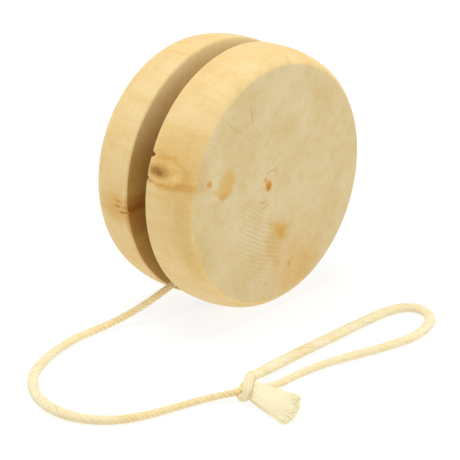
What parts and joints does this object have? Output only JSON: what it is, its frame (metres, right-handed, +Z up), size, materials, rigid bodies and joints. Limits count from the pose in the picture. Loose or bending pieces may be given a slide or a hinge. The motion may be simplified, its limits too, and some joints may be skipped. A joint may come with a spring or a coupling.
{
  "type": "yo-yo",
  "caption": "Round wooden yo-yo: rounded halves on a hidden dowel, with a cotton string wound in the groove between them, led out and tied in a finger loop.",
  "frame": {"origin": "on the floor, straight under the middle of the axle, as the yo-yo stands on its rims", "axes": "+Y along the axle from the front half to the rear half, +Z up, +X across"},
  "size_m": [0.0898, 0.0604, 0.055],
  "materials": {
    "pine": "sanded, unfinished, pale end grain on the faces and long grain on the rims",
    "beech_dowel": "smooth dowel, unfinished",
    "cotton_string": "natural undyed cotton, twisted plies, soft and slightly hairy"
  },
  "bodies": {
    "string": {"string_winding": "cotton_string", "string_run": "cotton_string", "finger_loop": "cotton_string", "loop_knot": "cotton_string", "tail_tuft": "cotton_string"},
    "rotor": {"front_half": "pine", "rear_half": "pine", "axle_dowel": "beech_dowel"}
  },
  "joints": [
    {"name": "rotor_spin", "type": "hinge", "parent": "string", "child": "rotor", "pos_m": [0, 0, 0.02748], "axis": [0, 1, 0], "continuous": true}
  ]
}
